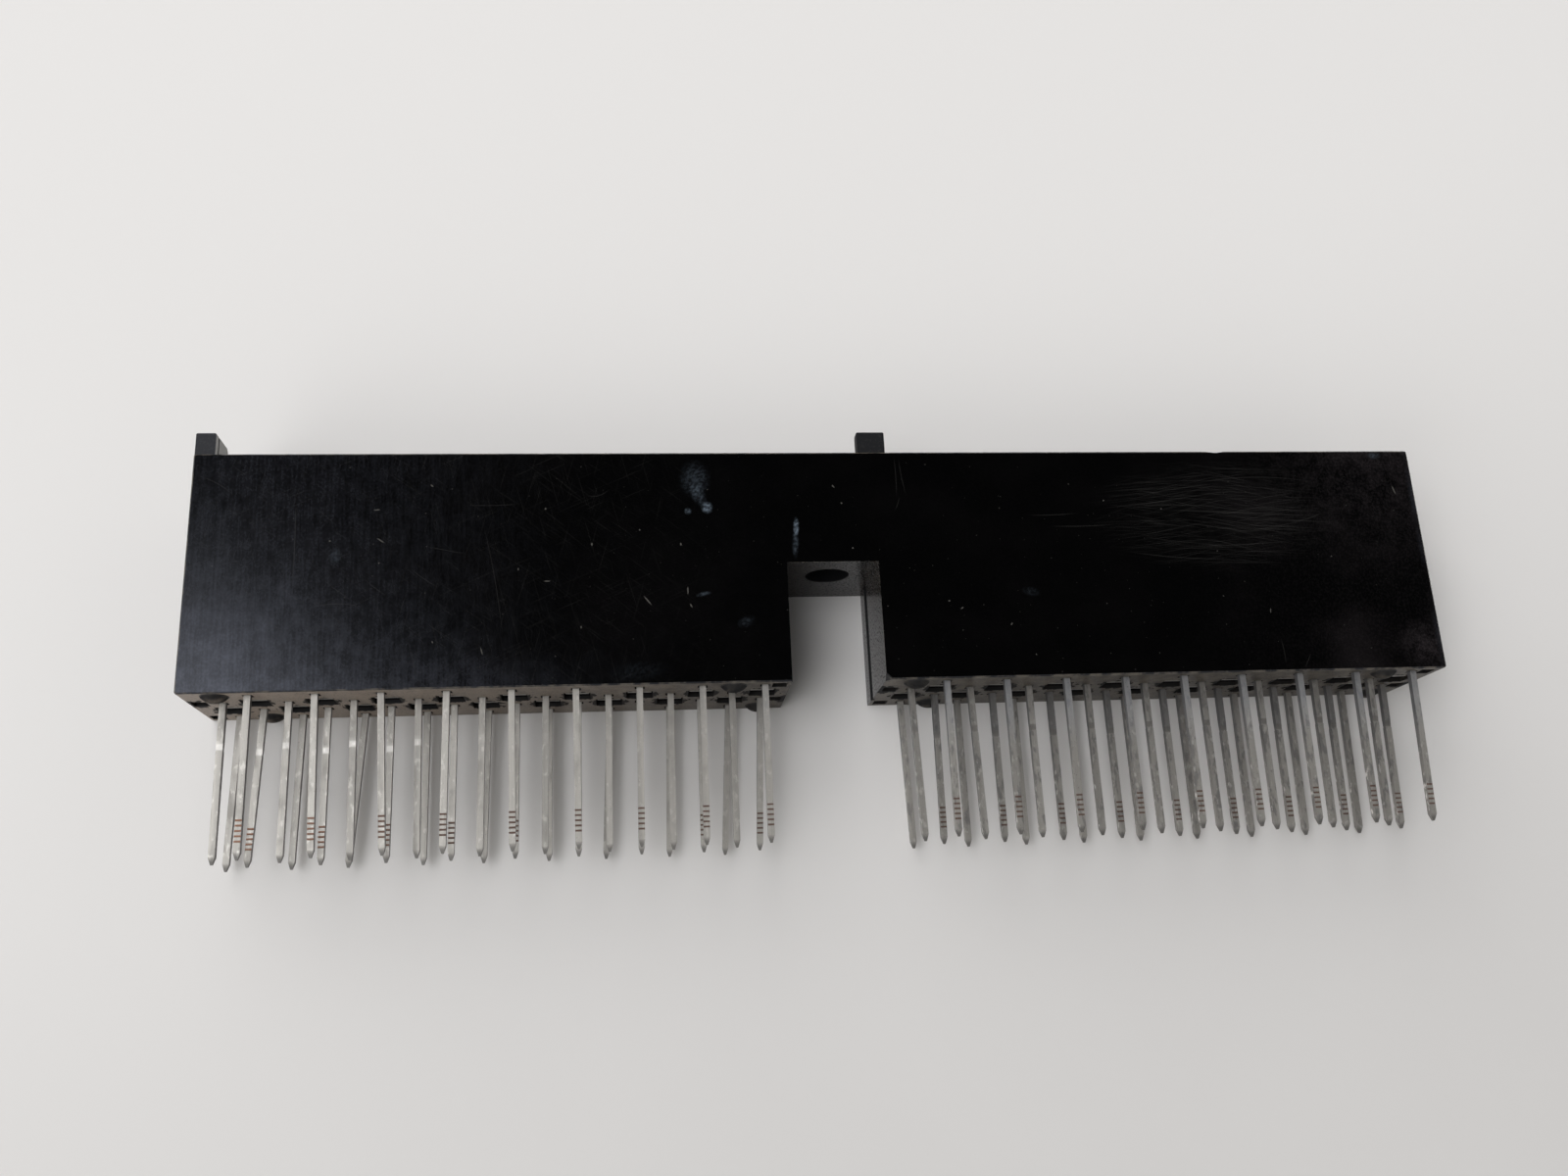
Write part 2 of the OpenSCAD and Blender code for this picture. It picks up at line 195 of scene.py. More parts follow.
    def specks(self, spacing, reach, share):
        """Scattered dots of up to REACH millimetres, on a SHARE of the places SPACING millimetres apart."""
        made = self.tree.nodes.new("ShaderNodeTexVoronoi")
        made.voronoi_dimensions = "2D"
        self.feed(made.inputs["Vector"], self.local(size=spacing))
        made.inputs["Scale"].default_value = 1
        chance, dot_size, _ = self.parts(made.outputs["Color"])
        from_dot = self.maths("DIVIDE", made.outputs["Distance"], self.total(dot_size, 0.3))
        dot = self.rise(from_dot, reach / spacing, 0)
        return self.product(dot, self.rise(chance, 1 - share, 1))

    def mix(self, factor, under, over):
        """UNDER where FACTOR is 0, OVER where it is 1."""
        made = self.tree.nodes.new("ShaderNodeMix")
        made.data_type = "RGBA"
        self.feed(made.inputs[0], factor)
        for socket, colour in ((made.inputs[6], under), (made.inputs[7], over)):
            self.feed(socket, colour if isinstance(colour, bpy.types.NodeSocket) else (*colour, 1))
        return made.outputs[2]

    def layer(self, under, over, *where, strength):
        """A coat of OVER on UNDER, where the patterns WHERE meet."""
        return self.mix(self.product(*where, strength), under, over)

    def bump(self, height, depth):
        """Surface relief: HEIGHT from 0 to 1, DEPTH in millimetres."""
        made = self.tree.nodes.new("ShaderNodeBump")
        made.inputs["Strength"].default_value = 1
        made.inputs["Distance"].default_value = depth / mm_per_metre
        self.feed(made.inputs["Height"], height)
        self.give("Normal", made.outputs[0])

    def dress(self, node):
        """Puts this finish on a CAD node."""
        node.data.materials.clear()
        node.data.materials.append(self.material)


gloss_black = (0.0006, 0.0006, 0.0006)
recess_black = (0.0010, 0.0009, 0.0008)
tab_black = (0.0082, 0.0082, 0.0086)
tab_haze_and_sheen = (0.0188, 0.0188, 0.0202)
notch_black = (0.0050, 0.0046, 0.0040)
dull_black = (0.010, 0.0092, 0.0082)
skin_dark = (0.029, 0.024, 0.018)
skin_pale = (0.075, 0.063, 0.047)
dust_brown = (0.21, 0.182, 0.142)
pale_tan = (0.33, 0.262, 0.205)
dust_grey = (0.23, 0.22, 0.20)
bloom_and_highlight_blue = (0.084, 0.090, 0.114)
bloom_plum = (0.105, 0.088, 0.094)
smudge_blue = (0.130, 0.163, 0.200)
scratch_grey = (0.060, 0.058, 0.055)

moulding = Finish("black_moulding")
moulding.give("Specular IOR Level", 0.34)
moulding.give("Specular Tint", (0.82, 0.86, 0.97, 1))

front = moulding.rise(moulding.z, front_face - 0.14, front_face - 0.04)
sides = moulding.rise(moulding.maths("ABSOLUTE", moulding.facing_z), 0.6, 0.3)
towards_tails = moulding.rise(moulding.facing_y, -0.6, -0.9)
from_notch = moulding.maths("ABSOLUTE", moulding.total(moulding.x, -notch_middle))
in_notch = moulding.product(
    moulding.rise(from_notch, notch_reach + 0.075, notch_reach + 0.025),
    moulding.rise(moulding.y, notch_roof + 0.06, notch_roof + 0.01))

# the sides: brown mould skin with dust granules, the tail face painted paler towards the left as painted
# light, black domes and dull other sides
mottle = moulding.lumps(1.2, 0.36, 0.66, detail=6)
granules = moulding.lumps(0.24, 0.5, 0.72)
skin = moulding.mix(mottle, skin_dark, skin_pale)
skin = moulding.layer(skin, dust_brown, granules, strength=0.30)
painted_light_to_left = moulding.rise(moulding.x, 0, left_end + 3)
# painted light: the tail face is paler towards the left, on the window's side
skin = moulding.layer(skin, pale_tan, painted_light_to_left, towards_tails, strength=0.58)
pits = moulding.lumps(0.2, 0.54, 0.68, detail=3, centre=(5, 5, 5))
skin = moulding.layer(skin, dull_black, pits, strength=0.5)
domes = moulding.product(
    moulding.rise(moulding.y, tail_face - 0.05, tail_face - 0.15),
    moulding.blend((mottle, -0.4), start=0.95))
other_sides = moulding.rise(moulding.facing_y, -0.9, -0.6)
skin = moulding.mix(domes, skin, recess_black)
skin = moulding.layer(skin, dull_black, other_sides, strength=0.8)

# ragged near-black patches round the contact openings, which take turns along each half: front, back,
# front, back
in_right_half = moulding.rise(moulding.x, notch_middle - 0.05, notch_middle + 0.05)
half_start = moulding.maths("MULTIPLY_ADD", in_right_half, half_pitch, first_column)
from_even = moulding.maths("PINGPONG", moulding.maths("SUBTRACT", moulding.x, half_start), pitch)
from_odd = moulding.maths("SUBTRACT", pitch, from_even)
smudge_reach, smudge_half_height = 1.75, 1.7
smudges = []
for row, from_column in ((middle_height + pitch / 2, from_odd), (middle_height - pitch / 2, from_even)):
    along = moulding.product(from_column, 1 / smudge_reach)
    across = moulding.product(moulding.maths("SUBTRACT", moulding.z, row), 1 / smudge_half_height)
    smudges.append(moulding.distance(along, across))
ragged = moulding.maths("SUBTRACT", moulding.grain((0.45, 0.45, 0.8), detail=3, centre=(2, 8, 4)), 0.5)
from_openings = moulding.blend((ragged, -1.4), start=moulding.maths("MINIMUM", *smudges))
opening_patches = moulding.product(
    towards_tails, moulding.rise(moulding.y, tail_face + 0.7, tail_face + 0.2),
    moulding.rise(from_openings, 1.08, 0.96))
skin = moulding.layer(skin, recess_black, opening_patches, strength=0.92)

# the notch is as glossy as the front, with brown specks in its right corner and a band of painted shade
# down the groove
skin = moulding.layer(skin, notch_black, in_notch, strength=0.9)
corner_specks = moulding.product(
    in_notch, moulding.rise(moulding.x, notch_right - 1.36, notch_right - 0.36),
    moulding.rise(moulding.y, notch_roof - 4.14, notch_roof - 2.74), granules)
skin = moulding.layer(skin, pale_tan, corner_specks, strength=0.25)
groove_height, shade_reach = 3.25, 0.75
groove_shade = moulding.product(
    in_notch, moulding.rise(moulding.x, notch_right - 0.16, notch_right - 0.06),
    moulding.band(moulding.z, groove_height - shade_reach, groove_height + shade_reach, soft=0.15))
# painted shade: a near-black band along the groove, wider than the groove itself
skin = moulding.mix(groove_shade, skin, recess_black)

# the tabs are plain and dull, their fronts paler towards the left end, partly haze and partly a painted
# sheen, where the end tab's inner side is pale
tabs = moulding.rise(moulding.y, mating_face + 0.01, mating_face + 0.11)
skin = moulding.layer(skin, tab_black, tabs, strength=0.7)
tab_side = moulding.product(
    tabs, moulding.rise(moulding.facing_x, 0.5, 0.8), moulding.rise(moulding.x, left_end + 7, left_end + 5))
skin = moulding.layer(skin, dust_grey, tab_side, strength=0.9)
flats = moulding.layer(dull_black, skin_dark, mottle, strength=0.3)
# painted sheen: the paler tab fronts at the left stand in for the back lamp's gloss
tab_front = moulding.mix(moulding.rise(moulding.x, 10, left_end + 3), tab_black, tab_haze_and_sheen)
flats = moulding.mix(tabs, flats, moulding.layer(tab_front, dust_grey, granules, strength=0.05))
surface = moulding.mix(sides, flats, skin)

# no light reaches the cavities, coring slots, screw hole, notch groove and tab slit
wall = 0.45
recess = moulding.product(
    moulding.band(moulding.z, wall, front_face - wall, soft=0.05),
    moulding.band(moulding.y, tail_face + 0.39, mating_face - 0.14, soft=0.06),
    moulding.rise(moulding.maths("ABSOLUTE", moulding.x), right_end - 0.27, right_end - 0.37),
    moulding.maths("MAXIMUM",
                   moulding.rise(from_notch, notch_reach + 0.035, notch_reach + 0.095),
                   moulding.rise(moulding.y, notch_roof + 0.06, notch_roof + 0.14)))
slit_low, slit_high = front_face - 1.46, front_face - 1.14
slit = moulding.product(
    moulding.band(moulding.z, slit_low, slit_high, soft=0.01),
    moulding.rise(moulding.y, mating_face + 0.01, mating_face + 0.05),
    moulding.rise(moulding.x, left_end + 2.17, left_end + 1.97))
surface = moulding.mix(moulding.maths("MAXIMUM", recess, slit), surface, recess_black)

# the front: black, with a bluish haze below a ragged slanting edge at the left, partly real and partly a
# painted reflection of the window
cloud = moulding.lumps((7, 6, 6), 0.36, 0.66, detail=6)
fine_cloud = moulding.lumps((1.3, 1.5, 1.3), 0.36, 0.68, detail=5)
grit = moulding.lumps((0.22, 0.28, 0.22), 0.40, 0.70, detail=3)
streaks = moulding.lumps((0.24, 4, 4), 0.36, 0.68, turn=1, detail=6)
bloom_mottle = moulding.blend((cloud, 0.30), (fine_cloud, 0.30), (grit, 0.20), (streaks, 0.20))
wander = moulding.maths("SUBTRACT", moulding.grain((4, 5, 5), detail=8, centre=(3, 9, 0)), 0.5)
edge_slope, edge_height, edge_wander = -0.448, -18.4, 16
below_edge = moulding.blend(
    (moulding.x, edge_slope), (moulding.y, -1), (wander, edge_wander), start=edge_height)
low_band = moulding.product(
    moulding.rise(moulding.blend((wander, 9), start=moulding.y), -1.4, -6.2),
    moulding.rise(moulding.x, -18, -40))
corner_patch = moulding.patch((-66, -7), (19, 13), core=0.05)
haze = moulding.blend((streaks, 0.44), (grit, 0.44), (fine_cloud, 0.20))
bloom_and_reflection = moulding.blend(
    (moulding.rise(below_edge, -4, 13), bloom_mottle, 0.30),
    (corner_patch, moulding.blend((bloom_mottle, 0.26), start=0.10)),
    (low_band, bloom_mottle, 0.10),
    (moulding.rise(moulding.x, -25, -58), haze, 0.122))

# a browner and thinner haze at the right, thickest in its two corners, and a painted highlight along the
# right rim
right_cloud = moulding.lumps((10, 8, 8), 0.36, 0.7, detail=5, centre=(37, 3, 0))
plum_bloom = moulding.product(
    moulding.blend((right_cloud, 0.7), (grit, 0.3)),
    moulding.blend((moulding.rise(moulding.x, 34, 60), 0.86), start=0.14))
low_corner = moulding.patch((63.4, -3.2), (4.0, 3.6), core=0)
high_corner = moulding.patch((63, 18), (20, 15), core=0)
corner_bloom = moulding.product(
    moulding.blend((fine_cloud, 0.55), (grit, 0.45)), moulding.blend((high_corner, 0.55), start=low_corner))
right_rim_highlight = moulding.product(moulding.rise(moulding.x, right_end - 0.87, right_end - 0.32), cloud)

# partly haze and partly a painted reflection of the window, on the left of the front
face = moulding.mix(bloom_and_reflection, gloss_black, bloom_and_highlight_blue)
face = moulding.layer(face, bloom_plum, plum_bloom, strength=0.085)
face = moulding.layer(face, bloom_plum, corner_bloom, strength=0.17)
# painted highlight along the right rim
face = moulding.layer(face, bloom_and_highlight_blue, right_rim_highlight, strength=0.16)

# bluish smears, a rubbed fan, drops, a run and dabs: middle, half width and height, turn, strength
smears = (
    ((-14.4, 16.2), (1.9, 2.4), 0, 0.16),
    ((-14.1, 14.6), (0.9, 1.8), 20, 0.26),
    ((-13.2, 13.0), (0.72, 0.78), 0, 0.95),
    ((-15.2, 12.6), (0.45, 0.45), 0, 0.50),
    ((-3.95, 10.8), (0.36, 1.2), -3, 1.3),
    ((-4.1, 9.0), (0.42, 1.9), -3, 0.26),
    ((-13.8, 3.6), (0.95, 0.30), 12, 0.30),
    ((-9.5, 0.6), (1.2, 0.7), 20, 0.10),
    ((-20.6, -4.4), (3.6, 1.3), 5, 0.035),
    ((-50.6, 8.0), (0.8, 1.3), 0, 0.12),
    ((20.5, 3.4), (1.2, 0.6), -10, 0.06),
    ((61.1, 18.6), (1.0, 0.5), 0, 0.22))
film = moulding.total(*[
    moulding.product(moulding.patch(middle, size, turn, core=0.1), strength)
    for middle, size, turn, strength in smears])
rubbed = moulding.lumps((0.36, 0.28, 0.36), 0.36, 0.72, turn=30, detail=6)
film = moulding.product(film, moulding.total(0.2, rubbed))
face = moulding.mix(film, face, smudge_blue)

# the bundle of fine arched scratches on the right half: turn, length and thickness of each set of lines
bundle_sets = (
    (2, 14, 0.17), (-3, 17, 0.20), (7, 11, 0.16), (-8, 12, 0.18),
    (0, 20, 0.24), (13, 9, 0.15), (-14, 9, 0.16))
arch_middle, arch_bend = 41.5, 0.004
from_middle = moulding.maths("SUBTRACT", moulding.x, arch_middle)
arched = moulding.tree.nodes.new("ShaderNodeCombineXYZ")
moulding.feed(arched.inputs[0], moulding.x)
moulding.feed(arched.inputs[1], moulding.blend((from_middle, from_middle, arch_bend), start=moulding.y))
bundle_reach = moulding.patch((42, 11.9), (15.5, 7.4), core=0.4)
bundle_lines = moulding.fine_lines(bundle_sets, 0.60, 0.72, place=arched.outputs[0])
bundle = moulding.product(bundle_reach, moulding.total(moulding.product(fine_cloud, 0.15), *bundle_lines))

# single hairlines: middle, half length, turn, rise at the ends, width
hairlines = moulding.total(*[moulding.hairline(*line) for line in (
    (-50.2, 3.1, 2.8, 0, -0.45, 0.08),
    (-62.6, 16.0, 2.1, -30, -0.25, 0.08),
    (-35.1, 13.4, 3.0, 1, 0.15, 0.07),
    (-24.4, 14.4, 1.4, 15, 0.50, 0.08),
    (-34.8, 5.4, 6.8, 100, 0.25, 0.06),
    (-41.8, 5.6, 2.0, -36, 0.1, 0.07),
    (-54.6, 9.7, 5.2, 91, 0.1, 0.09),
    (-39.7, 8.6, 2.6, -12, 0.0, 0.06),
    (7.0, 16.4, 2.6, 90, 0.1, 0.07),
    (7.6, 16.4, 2.4, 97, -0.1, 0.07),
    (7.0, 13.3, 0.9, 70, 0.1, 0.07),
    (47.2, -3.5, 1.6, 93, 0.1, 0.07),
    (49.7, -4.6, 1.0, 60, 0.0, 0.07),
    (46.4, 16.1, 7.6, 1, -0.8, 0.08),
    (52.0, 11.2, 2.4, 15, 0.2, 0.10),
    (36.7, 7.0, 6.0, -5, 0.3, 0.08),
    (26.8, 10.6, 3.8, 1, 0.1, 0.09),
    (23.8, 11.9, 3.0, 2, 0.1, 0.08),
    (43.4, 8.3, 7.2, 2, 0.2, 0.08))])

# a sparse net of short fine scratches from handling, on the left half
net_sets = ((75, 5, 0.13), (105, 6, 0.12), (25, 5, 0.13), (-35, 4, 0.12), (140, 5, 0.12))
net = moulding.product(
    moulding.rise(moulding.x, -8, -25), moulding.total(*moulding.fine_lines(net_sets, 0.66, 0.76)))
scratches = moulding.blend((bundle, 0.13), (hairlines, 0.15), (net, 0.07))
face = moulding.mix(scratches, face, scratch_grey)

# dust: a scatter of faint specks, and the fibres and crumbs that catch the eye: middle, half size, turn
crumbs = moulding.total(*[moulding.patch(middle, size, turn, core=0.4) for middle, size, turn in (
    ((-46.2, 9.7), (0.55, 0.09), -35),
    ((-46.7, 13.0), (0.40, 0.09), 5),
    ((-41.3, 15.6), (0.22, 0.10), -40),
    ((-29.6, 5.2), (0.40, 0.09), 0),
    ((-51.2, 9.7), (0.12, 0.12), 0),
    ((-32.5, 6.5), (0.09, 0.18), 0),
    ((-26.2, 0.3), (0.09, 0.18), 0),
    ((-29.8, 13.0), (0.12, 0.15), 0),
    ((-25.1, 9.1), (0.13, 0.20), 0),
    ((-46.3, 7.3), (0.10, 0.10), 0),
    ((-40.8, -1.0), (0.09, 0.16), 20),
    ((-36.0, -2.0), (0.08, 0.50), 15),
    ((-19.5, 3.0), (0.75, 0.10), -52),
    ((-15.4, 4.0), (0.10, 0.50), 0),
    ((-15.1, 2.4), (0.10, 0.28), 30),
    ((-20.2, 10.6), (0.11, 0.11), 0),
    ((-16.0, 9.0), (0.12, 0.20), 0),
    ((1.0, 13.4), (0.12, 0.12), 0),
    ((0.2, 15.3), (0.10, 0.25), 40),
    ((1.9, 8.4), (0.13, 0.11), 0),
    ((11.7, 2.5), (0.14, 0.12), 0),
    ((13.0, 1.7), (0.22, 0.10), 25),
    ((18.1, -0.1), (0.20, 0.09), 60),
    ((20.4, -3.4), (0.09, 0.09), 0),
    ((29.5, 13.5), (0.11, 0.11), 0),
    ((35.8, 12.5), (0.13, 0.08), 0),
    ((54.2, 6.9), (0.10, 0.10), 0),
    ((46.4, 0.9), (0.07, 0.32), -8),
    ((62.7, 14.5), (0.10, 0.65), 15))])
dust = moulding.blend(
    (moulding.specks(spacing=2.6, reach=0.10, share=0.3), 0.17),
    (moulding.specks(spacing=1.2, reach=0.07, share=0.3), 0.10),
    (crumbs, 0.30))
face = moulding.mix(dust, face, dust_grey)
surface = moulding.mix(front, surface, face)

# rubbed edges round the front
bevel = moulding.band(moulding.facing_z, 0.4, 0.9, soft=0.05)
worn_edge = moulding.product(
    moulding.blend((sides, 0.7), start=bevel),
    moulding.rise(moulding.z, front_face - 0.35, front_face - 0.15),
    moulding.lumps(1.2, 0.42, 0.62, detail=5))
moulding.give("Base Color", moulding.layer(surface, dust_brown, worn_edge, strength=0.35))
moulding.give("Roughness", moulding.blend(
    (front, -0.33), (front, fine_cloud, 0.03), (front, film, 0.2),
    (tabs, sides, 0.3), (tab_side, -0.45), (recess, 0.45), (opening_patches, sides, 0.4), (domes, 0.54),
    (in_notch, moulding.blend((granules, 0.5), start=-0.26)), (groove_shade, 0.9), start=0.46))
moulding.bump(moulding.product(sides, moulding.grain(0.25, detail=3)), depth=0.02)
moulding.dress(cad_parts["housing"])


# Contacts
# Seventy-two stamped, tinned copper-alloy contacts, two to a column, each set in a cavity of the housing.
# Each ends in a square tail for wrapped wire. The shears left its two sides a little darker than the tinned
# faces, painted shade darkens the right sides and the left ones near the block, and a die cut five small
# grooves near each point, where the copper shows through.

# sizes in millimetres
pinch = tail_face - 4.4
groove_count, groove_pitch = 5, 0.5
first_groove = tail_points + 1.75
last_groove = first_groove + (groove_count - 1) * groove_pitch
front_row = middle_height + 1.5 * pitch
third_row = middle_height - 0.5 * pitch

tin = (0.465, 0.445, 0.41)
bright_tin = (0.73, 0.71, 0.665)
highlight_tin = (0.95, 0.93, 0.90)
tarnish_and_shade = (0.21, 0.20, 0.185)
dark_grey = (0.135, 0.135, 0.142)
blue_grey = (0.37, 0.395, 0.45)
bare_copper = (0.34, 0.160, 0.095)
old_copper = (0.130, 0.066, 0.048)
dark_point = (0.11, 0.105, 0.10)

tinned = Finish("tinned_contact")
tinned.give("Specular IOR Level", 0.5)
tinned.give("Metallic", 0.68)

# the tin: every piece has its own tone, with the die's lines along it, dull and bright spots, and dirt
piece_tone = tinned.lumps((1.4, 90, 1.4), 0.40, 0.62, detail=0)
die_lines = tinned.lumps((0.10, 5, 0.10), 0.46, 0.70, detail=3)
dull_spots = tinned.lumps((0.8, 2.2, 0.8), 0.48, 0.70, detail=5)
bright_spots = tinned.lumps((0.45, 0.9, 0.45), 0.56, 0.70, detail=5, centre=(7, 3, 5))
dirt = tinned.lumps((0.14, 0.2, 0.14), 0.64, 0.74, detail=3)
blots = tinned.product(
    tinned.lumps((0.5, 1.6, 0.5), 0.52, 0.64, detail=4, centre=(1, 4, 9)), tinned.rise(tinned.x, -15, 12))

# the shear-cut sides are a little dark; painted shade darkens the right ones and the left ones near the
# block, and a painted highlight brightens the left ones of the left tails towards the points
right_side = tinned.rise(tinned.facing_x, 0.5, 0.8)
left_side = tinned.rise(tinned.facing_x, -0.5, -0.8)
near_root = tinned.rise(tinned.y, tail_face - 11.3, tail_face - 4.3)
sheared_and_shaded = tinned.total(right_side, tinned.product(left_side, tinned.blend((near_root, 0.7), start=0.3)))
left_edge_highlight = tinned.product(
    left_side, tinned.rise(tinned.y, tail_face - 6.3, tail_face - 12.3), tinned.rise(tinned.x, -20, 10))

# painted shade darkens the right half's tails near the block: bluish in the front row, dark in the third
right_tails = tinned.rise(tinned.x, -20, 15)
shaded_roots = tinned.product(
    tinned.band(tinned.z, third_row - 1.2, third_row + 1.2, soft=0.2),
    tinned.rise(tinned.y, pinch - 0.4, pinch + 0.2), right_tails)
blue_shaded_roots = tinned.product(
    tinned.rise(tinned.z, front_row - 1.5, front_row - 1.1),
    tinned.rise(tinned.y, tail_face - 8.3, tail_face - 1.3), right_tails)
shade_near_block = tinned.product(
    tinned.rise(tinned.y, tail_face - 4.8, tail_face - 0.5),
    tinned.rise(tinned.x, -20, 20), tinned.rise(tinned.x, 66, 46))

# the die's marks: grooves, outwards on the outer rows and inwards on the inner ones, pinches and points
groove_place = tinned.maths("PINGPONG", tinned.maths("SUBTRACT", tinned.y, first_groove), groove_pitch / 2)
groove_stretch = tinned.band(tinned.y, first_groove - 0.2, last_groove + 0.2, soft=0.02)
row_turns = tinned.maths("COSINE", tinned.product(
    tinned.maths("SUBTRACT", tinned.z, front_row), math.pi / pitch))
grooved_side = tinned.rise(tinned.product(tinned.maths("SIGN", row_turns), tinned.facing_z), 0.2, 0.4)
grooves = tinned.product(tinned.rise(groove_place, 0.115, 0.065), groove_stretch, grooved_side)
points = tinned.rise(tinned.y, tail_points + 0.84, tail_points + 0.24)
pinched = tinned.product(
    tinned.band(tinned.y, pinch - 0.3, pinch + 0.3, soft=0.1),
    tinned.rise(tinned.facing_y, -0.05, -0.08), tinned.rise(tinned.facing_z, 0.5, 0.7))
in_openings = tinned.rise(tinned.y, tail_face + 0.03, tail_face + 0.11)

metal = tinned.layer(tin, tarnish_and_shade, piece_tone, strength=0.35)
metal = tinned.layer(metal, tarnish_and_shade, dull_spots, strength=0.30)
metal = tinned.layer(metal, dark_grey, blots, strength=0.5)
metal = tinned.layer(metal, bright_tin, bright_spots, strength=0.45)
metal = tinned.layer(metal, tarnish_and_shade, die_lines, strength=0.16)
# painted shade on the tails near the block
metal = tinned.layer(metal, tarnish_and_shade, shade_near_block, strength=0.35)
metal = tinned.layer(metal, dark_grey, shaded_roots, strength=0.55)
metal = tinned.layer(metal, blue_grey, blue_shaded_roots, strength=0.40)
# painted shade on the sides, and a painted highlight on the left sides of the left tails
metal = tinned.layer(metal, dark_grey, sheared_and_shaded, strength=0.7)
metal = tinned.layer(metal, highlight_tin, left_edge_highlight, bright_spots, strength=0.8)
metal = tinned.layer(metal, dark_point, dirt, strength=0.5)
# the pinch facets: a painted highlight on the far-left tails and painted shade on the right ones
metal = tinned.layer(metal, highlight_tin, pinched, tinned.rise(tinned.x, -39, -45), strength=0.32)
metal = tinned.layer(metal, tarnish_and_shade, pinched, tinned.rise(tinned.x, 0, 20), strength=0.7)
copper = tinned.mix(tinned.rise(tinned.x, -60, -40), bare_copper, old_copper)
metal = tinned.layer(metal, copper, grooves, strength=0.85)
# painted shade darkens the points
metal = tinned.layer(metal, dark_point, points, strength=0.75)
metal = tinned.layer(metal, dark_point, in_openings, strength=0.6)
tinned.give("Base Color", metal)
tinned.give("Roughness", tinned.blend(
    (dull_spots, 0.10), (die_lines, 0.05), (bright_spots, -0.08), (points, 0.1), start=0.42))
tinned.bump(die_lines, depth=0.002)

for half in ("left", "right"):
    for column in range(1, columns + 1):
        tinned.dress(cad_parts[f"contacts_{half}_{column:02d}"])


# Floor
# A plain pale sheet under the block, wide enough to take its shadow. Painted shade makes it a little greyer
# towards the front right, and it fades into the pale room at its rim.

floor_radius = 0.8
floor_shape = bmesh.new()
bmesh.ops.create_circle(floor_shape, cap_ends=True, segments=96, radius=floor_radius)
floor_mesh = bpy.data.meshes.new("floor")
floor_shape.to_mesh(floor_mesh)
floor_shape.free()
floor = bpy.data.objects.new("floor", floor_mesh)
bpy.context.scene.collection.objects.link(floor)

sheet_pale = (0.795, 0.78, 0.765)
shaded_sheet_grey = (0.625, 0.611, 0.597)
sheet_cloud = (0.80, 0.785, 0.77)

paper = Finish("pale_floor")
paper.give("Specular IOR Level", 0.1)
paper.give("Roughness", 0.9)
from_centre = paper.vector("LENGTH", paper.spot)
towards_back = paper.blend((paper.x, -0.35), start=paper.y)
# painted shade: greyer towards the front right, near the block only
sheet = paper.mix(paper.rise(towards_back, -85, 45), shaded_sheet_grey, sheet_pale)
sheet = paper.mix(paper.rise(from_centre, 90, 240), sheet, sheet_pale)
paper.give("Base Color", paper.layer(sheet, sheet_cloud, paper.grain(40, detail=3), strength=0.3))
paper.give("Alpha", paper.rise(from_centre, 640, 150))
floor.data.materials.append(paper.material)


# Light
# A pale room, dim overhead so that the glossy front stays black, with one wide soft window to the left.
# A broad lamp far behind the block brightens the far side of the floor and is kept out of the gloss, and
# a smaller one stands at the front left.

dark = (0, 0, 0)
wall_light = (0.80, 0.79, 0.77)
ceiling_light = (0.022, 0.021, 0.020)
window_light = (4.1, 4.12, 4.2)
wall_top, ceiling_rim = 0.2, 0.85
window_direction = (-0.464, -0.045, 0.884)
window_rim, window_core = math.cos(math.radians(25)), math.cos(math.radians(12))

room = bpy.data.worlds.new("room")
bpy.context.scene.world = room
room.use_nodes = True
air = room.node_tree


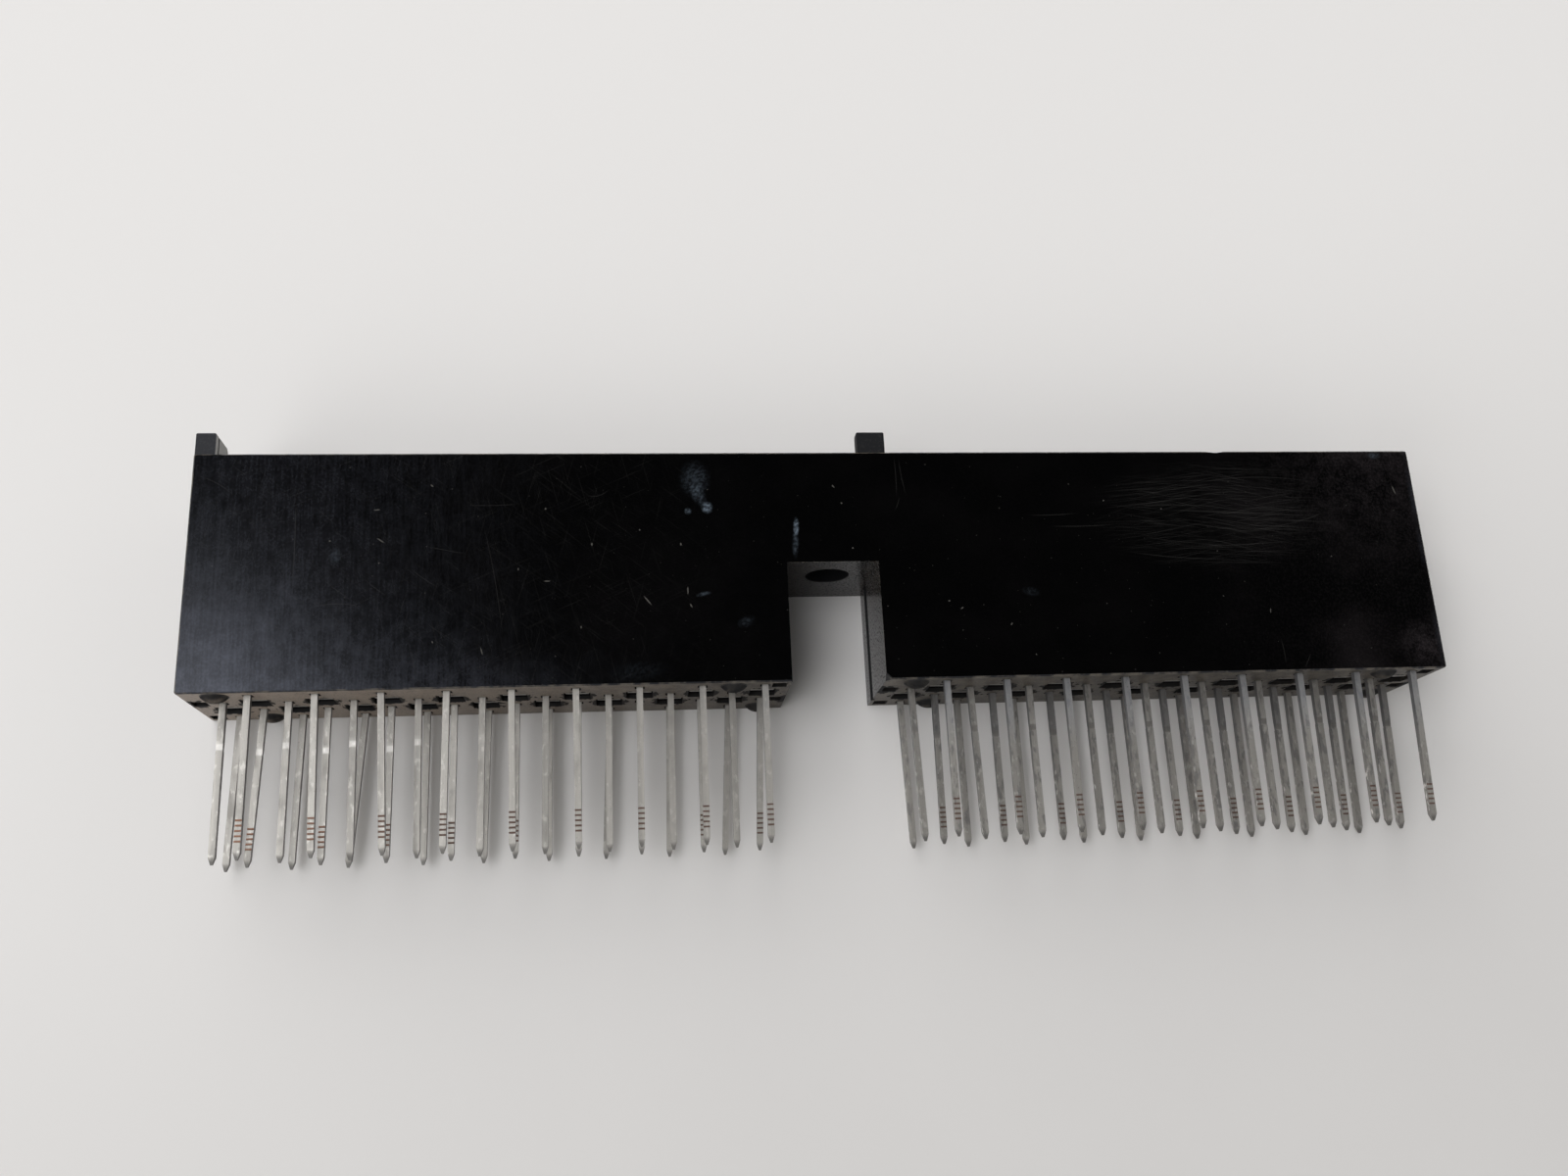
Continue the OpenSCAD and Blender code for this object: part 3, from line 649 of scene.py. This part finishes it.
def glow(measure, low, low_light, high, high_light):
    """A soft change from one light to another while MEASURE goes from LOW to HIGH."""
    made = air.nodes.new("ShaderNodeValToRGB")
    made.color_ramp.interpolation = "EASE"
    for stop, position, light in zip(made.color_ramp.elements, (low, high), (low_light, high_light)):
        stop.position = position
        stop.color = (*light, 1)
    air.links.new(measure, made.inputs[0])
    return made.outputs[0]


direction = air.nodes.new("ShaderNodeTexCoord").outputs["Generated"]
height = air.nodes.new("ShaderNodeSeparateXYZ")
air.links.new(direction, height.inputs[0])
towards_window = air.nodes.new("ShaderNodeVectorMath")
towards_window.operation = "DOT_PRODUCT"
towards_window.inputs[1].default_value = window_direction
air.links.new(direction, towards_window.inputs[0])
both = air.nodes.new("ShaderNodeVectorMath")
both.operation = "ADD"
walls = glow(height.outputs[2], wall_top, wall_light, ceiling_rim, ceiling_light)
window = glow(towards_window.outputs["Value"], window_rim, dark, window_core, window_light)
air.links.new(walls, both.inputs[0])
air.links.new(window, both.inputs[1])
air.links.new(both.outputs[0], air.nodes["Background"].inputs["Color"])

for name, place, across, power, in_gloss in (
        ("back_lamp", (-0.45, 0.95, 0.62), 1.2, 8.6, False),
        ("front_lamp", (-0.60, -0.60, 0.55), 0.6, 1.8, True)):
    lamp = bpy.data.lights.new(name, "AREA")
    lamp.shape = "DISK"
    lamp.size = across
    lamp.energy = power
    hung = bpy.data.objects.new(name, lamp)
    hung.location = place
    hung.rotation_euler = (-Vector(place)).to_track_quat("-Z", "Y").to_euler()
    hung.visible_glossy = in_gloss
    bpy.context.scene.collection.objects.link(hung)


# Camera
# The eye stands close over the tails, a little left of the middle, and looks down on the front face.
# Its place in metres and tilt in degrees were worked out from the block's corners and the contacts' grid.

eye = (-0.0210495, -0.037297, 0.148160)
tilt = (17.177, -5.7558, -2.5742)
camera = bpy.data.objects.new("camera", bpy.data.cameras.new("camera"))
camera.data.sensor_width = 36
camera.data.lens = 31.788
camera.data.clip_start = 0.005
camera.location = eye
camera.rotation_euler = [math.radians(angle) for angle in tilt]
bpy.context.scene.collection.objects.link(camera)
bpy.context.scene.camera = camera
bpy.context.scene.view_settings.view_transform = "Standard"
